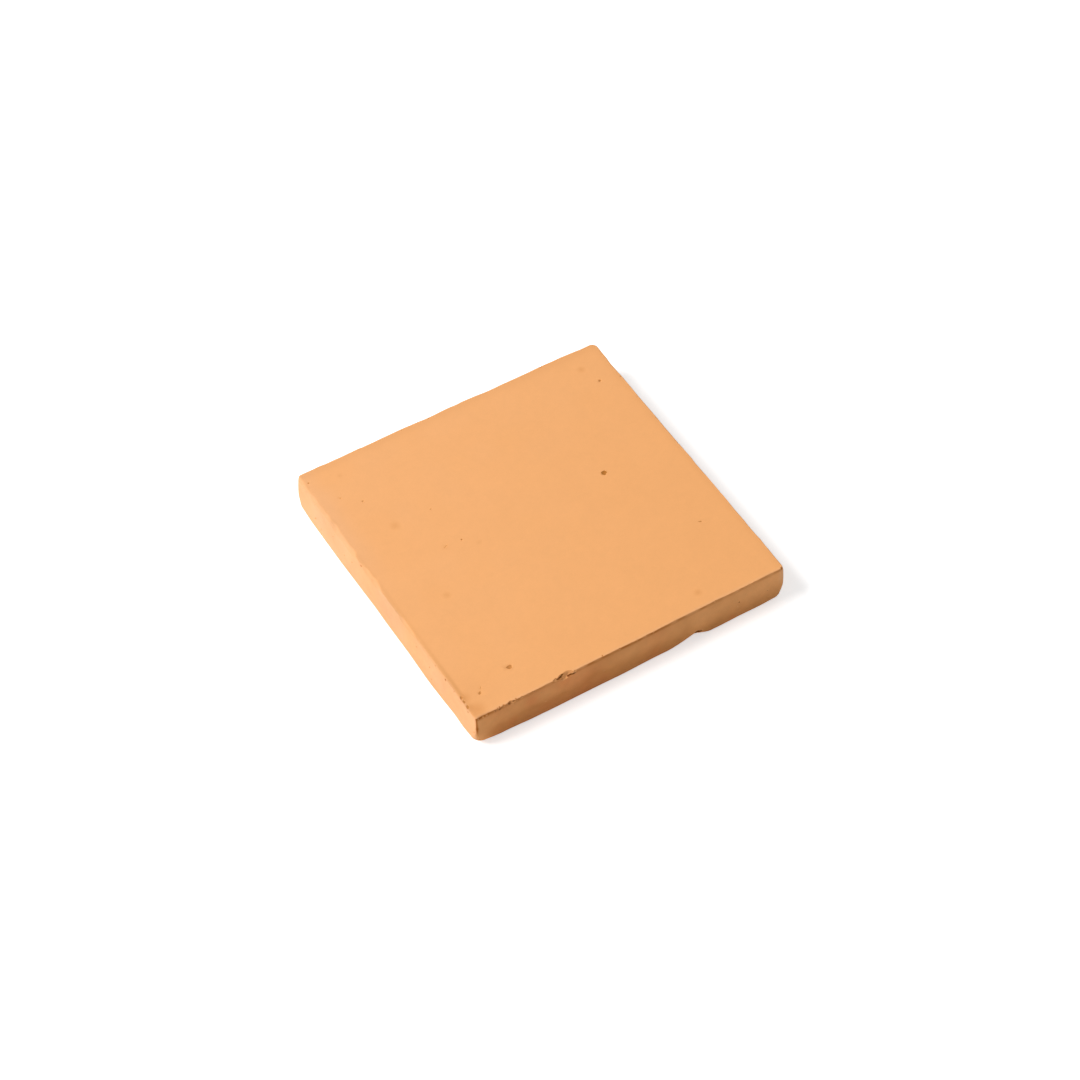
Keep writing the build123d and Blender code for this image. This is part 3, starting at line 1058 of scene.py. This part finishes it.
# %% [markdown]
# The grain. Under the fingers the slab is fine sandpaper: coarse sand below, cement dust over it. Grains
# this small would take millions of faces, so they are left to a bump, which only bends the light.

# %% A group for sand grain
COARSE_SAND, FINE_SAND = 2.4 * MM, 0.6 * MM
FINE_SHARE = 0.4


def sand_grain():
    """A group that gives a surface the fine roughness of sand and cement."""
    inputs = {"Vector": "NodeSocketVector", "Strength": "NodeSocketFloat", "Depth": "NodeSocketFloat"}
    tree, given, output = new_group("ShaderNodeTree", "sand_grain", inputs, {"Normal": "NodeSocketVector"})
    place = given["Vector"]
    coarse = add(tree, "ShaderNodeTexNoise", {"Vector": place, "Scale": 1 / COARSE_SAND, "Detail": 2.0})
    fine = add(tree, "ShaderNodeTexNoise", {"Vector": place, "Scale": 1 / FINE_SAND, "Detail": 1.0})
    height = maths(tree, "ADD", coarse.outputs[0], maths(tree, "MULTIPLY", fine.outputs[0], FINE_SHARE))
    bump = {"Strength": given["Strength"], "Distance": given["Depth"], "Height": height}
    feed(tree, output, {0: add(tree, "ShaderNodeBump", bump).outputs[0]})
    return tree


SAND_GRAIN = sand_grain()
print("group:", SAND_GRAIN.name, "with", len(SAND_GRAIN.nodes), "nodes")

# %% [markdown]
# The spots. Stains and specks are round and soft at the edge. A mask that fades with the distance from a
# centre makes one, and the material repeats it for each stain with its own place and size.

# %% A group for soft spots


def soft_spot():
    """A group that makes a round mask with a soft edge about a centre."""
    inputs = {"Vector": "NodeSocketVector", "Centre": "NodeSocketVector", "Radius": "NodeSocketFloat"}
    tree, given, output = new_group("ShaderNodeTree", "soft_spot", inputs, {"Mask": "NodeSocketFloat"})
    away = add(tree, "ShaderNodeVectorMath", {0: given["Vector"], 1: given["Centre"]}, operation="DISTANCE")
    fade = {"Value": away.outputs["Value"], "From Max": given["Radius"], "To Min": 1.0, "To Max": 0.0}
    mask = add(tree, "ShaderNodeMapRange", fade, interpolation_type="SMOOTHSTEP")
    feed(tree, output, {0: mask.outputs[0]})
    return tree


SOFT_SPOT = soft_spot()
print("group:", SOFT_SPOT.name, "with", len(SOFT_SPOT.nodes), "nodes")

# %% [markdown]
# The skin of the slab. The face is a warm buff, the moulded sides a shade deeper. The side towards the
# lamp gets a painted sheen, the lower half of the others gets painted shade, and the groove under the top
# edge gets a dark line of painted shade. The named values on the mesh say where, so here each one only
# mixes in its colour.

# %% The colour of the skin
FACE_COLOUR = (0.885, 0.415, 0.152, 1)
SIDE_COLOUR = (0.930, 0.425, 0.148, 1)
# Colours of painted sheen, painted shade and rubbed bands, rust and red shade, and groove shade and dirt
SHEEN_COLOUR = (0.810, 0.465, 0.265, 1)
SHADE_AND_WEAR_TINT = (0.70, 0.64, 0.50, 1)
RUST_AND_SHADE_TINT = (1.00, 0.85, 0.80, 1)
DIRT_AND_SHADE_COLOUR = (0.47, 0.130, 0.010, 1)
# How strong the clouds and the mottle are on the face and on the sides
CLOUDS = (0.05, 0.22)
MOTTLE = (0.05, 0.14)
GRAINS = 0.05


def named_value(tree, name):
    """A value kept on the mesh, for the shader."""
    return add(tree, "ShaderNodeAttribute", attribute_name=name).outputs["Fac"]


def mixed(tree, share, first, second, blend="MIX"):
    """Two colours mixed by a share."""
    inputs = {0: share, 6: first, 7: second}
    return add(tree, "ShaderNodeMix", inputs, data_type="RGBA", blend_type=blend).outputs[2]


def use(tree, group, inputs):
    """A node group put to work: its first output."""
    return add(tree, "ShaderNodeGroup", inputs, node_tree=group).outputs[0]


def by_skin(tree, on_face, on_side):
    """A value that is one thing on the face and another on the moulded sides."""
    inputs = {"Value": named_value(tree, "moulded"), "To Min": on_face, "To Max": on_side}
    return add(tree, "ShaderNodeMapRange", inputs).outputs[0]


concrete.use_nodes = True
tree = concrete.node_tree
place = add(tree, "ShaderNodeTexCoord").outputs["Object"]
colour = mixed(tree, named_value(tree, "moulded"), FACE_COLOUR, SIDE_COLOUR)
# Painted sheen
colour = mixed(tree, named_value(tree, "painted_sheen"), colour, SHEEN_COLOUR)
tone = {"Clouds": by_skin(tree, *CLOUDS), "Mottle": by_skin(tree, *MOTTLE), "Grains": GRAINS}
colour = use(tree, CEMENT_TONE, {"Vector": place, "Colour": colour, **tone})
# Painted shade and rubbed bands, rust with red shade at the foot, and the groove's painted shade
colour = mixed(tree, named_value(tree, "painted_shade_and_wear"), colour, SHADE_AND_WEAR_TINT, "MULTIPLY")
colour = mixed(tree, named_value(tree, "rust_and_foot_shade"), colour, RUST_AND_SHADE_TINT, "MULTIPLY")
colour = mixed(tree, named_value(tree, "groove_shade_and_dirt"), colour, DIRT_AND_SHADE_COLOUR)
print("skin so far:", len(tree.nodes), "nodes")

# %% [markdown]
# Stains and specks. Drops of water and cement have left faint rings on the face, and specks of soil stick
# to the front corner. Each has its place, and the same soft spot serves for all: a stain darkens what is
# there, a speck covers it.

# %% Stains, specks and the finish
STAIN_TINT = (0.86, 0.78, 0.66, 1)
# Stains on the face: x, y, height, radius and strength
STAINS = [
    (-139.7, 78.4, THICK, 9.0, 0.55), (-139.9, -37.0, THICK, 7.0, 0.50), (162.7, 169.6, THICK, 7.0, 0.60),
    (96.8, -177.5, THICK, 7.0, 0.60), (-107.3, 22.6, THICK, 8.0, 0.20), (-71.9, 8.7, THICK, 5.0, 0.25),
    (101.2, 21.9, THICK, 6.0, 0.35), (-132.0, -156.9, THICK, 7.0, 0.35), (-190.0, -187.0, THICK, 15.0, 0.75),
    (-193.5, -167.0, THICK, 10.0, 0.60), (-195.5, -180.0, THICK, 8.0, 0.45),
    (-185.0, -165.0, THICK, 60.0, 0.14), (-156.9, 174.6, THICK, 5.0, 0.30),
]
# Specks of dirt at the front corner, its top edge and the left foot, in the same order
DIRT = [
    (-197.5, -199.2, 33.5, 3.0, 0.85), (-189.2, -197.6, 49.2, 2.4, 0.80), (-182.5, -197.7, 48.8, 2.2, 0.80),
    (-156.6, -197.6, 49.0, 3.0, 0.55), (-171.0, -199.0, 4.5, 4.5, 0.60), (-199.6, 5.6, 3.0, 3.2, 0.70),
]
# Roughness and depth of grain on the face and on the sides
ROUGHNESS = (0.58, 0.72)
GRAIN = (0.10, 0.35)
GRAIN_DEPTH = 0.4 * MM
DARK_LINE_DULLS = 0.25
CONCRETE_SHINE = 0.25

for spots, tint, blend in ((STAINS, STAIN_TINT, "MULTIPLY"), (DIRT, DIRT_AND_SHADE_COLOUR, "MIX")):
    for spot_x, spot_y, height, radius, strength in spots:
        centre = (spot_x * MM, spot_y * MM, low.z + height * MM)
        mask = use(tree, SOFT_SPOT, {"Vector": place, "Centre": centre, "Radius": radius * MM})
        colour = mixed(tree, maths(tree, "MULTIPLY", mask, strength), colour, tint, blend)
grain = {"Vector": place, "Strength": by_skin(tree, *GRAIN), "Depth": GRAIN_DEPTH}
dull = maths(tree, "MULTIPLY", named_value(tree, "groove_shade_and_dirt"), DARK_LINE_DULLS)
finish = {
    "Base Color": colour, "Normal": use(tree, SAND_GRAIN, grain),
    "Roughness": maths(tree, "ADD", by_skin(tree, *ROUGHNESS), dull), "Specular IOR Level": CONCRETE_SHINE,
}
feed(tree, tree.nodes["Principled BSDF"], finish)
print("whole skin:", len(tree.nodes), "nodes")

# %% [markdown]
# Broken concrete. Inside a break the trowelled skin is gone: the colour is duller, the sand stands open,
# and the small holes get painted shade with some soil. One material serves for all breaks, because every
# cut face carries a value that says how much painted shade its hollow gets.

# %% Broken concrete
BROKEN_COLOUR = (0.78, 0.345, 0.125, 1)
# The colour of the painted shade and soil in hollows
HOLLOW_SHADE_AND_SOIL_COLOUR = (0.46, 0.175, 0.034, 1)
BROKEN_TONE = {"Clouds": 0.10, "Mottle": 0.20, "Grains": 0.35}
BROKEN_GRAIN = 0.8
BROKEN_GRAIN_DEPTH = 0.6 * MM
BROKEN_ROUGHNESS = 0.85
BROKEN_SHINE = 0.08

broken_concrete.use_nodes = True
tree = broken_concrete.node_tree
place = add(tree, "ShaderNodeTexCoord").outputs["Object"]
# Painted shade and soil in the hollows
colour = mixed(tree, named_value(tree, "hollow"), BROKEN_COLOUR, HOLLOW_SHADE_AND_SOIL_COLOUR)
colour = use(tree, CEMENT_TONE, {"Vector": place, "Colour": colour, **BROKEN_TONE})
grain = {"Vector": place, "Strength": BROKEN_GRAIN, "Depth": BROKEN_GRAIN_DEPTH}
finish = {
    "Base Color": colour, "Normal": use(tree, SAND_GRAIN, grain), "Roughness": BROKEN_ROUGHNESS,
    "Specular IOR Level": BROKEN_SHINE,
}
feed(tree, tree.nodes["Principled BSDF"], finish)
print("broken concrete:", len(tree.nodes), "nodes")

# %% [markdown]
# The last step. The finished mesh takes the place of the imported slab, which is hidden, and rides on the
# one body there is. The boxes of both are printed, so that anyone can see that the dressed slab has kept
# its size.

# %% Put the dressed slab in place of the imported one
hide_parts(NODE)
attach(slab, "root")
print("dressed slab, metres:", [round(side, 4) for side in slab.dimensions])
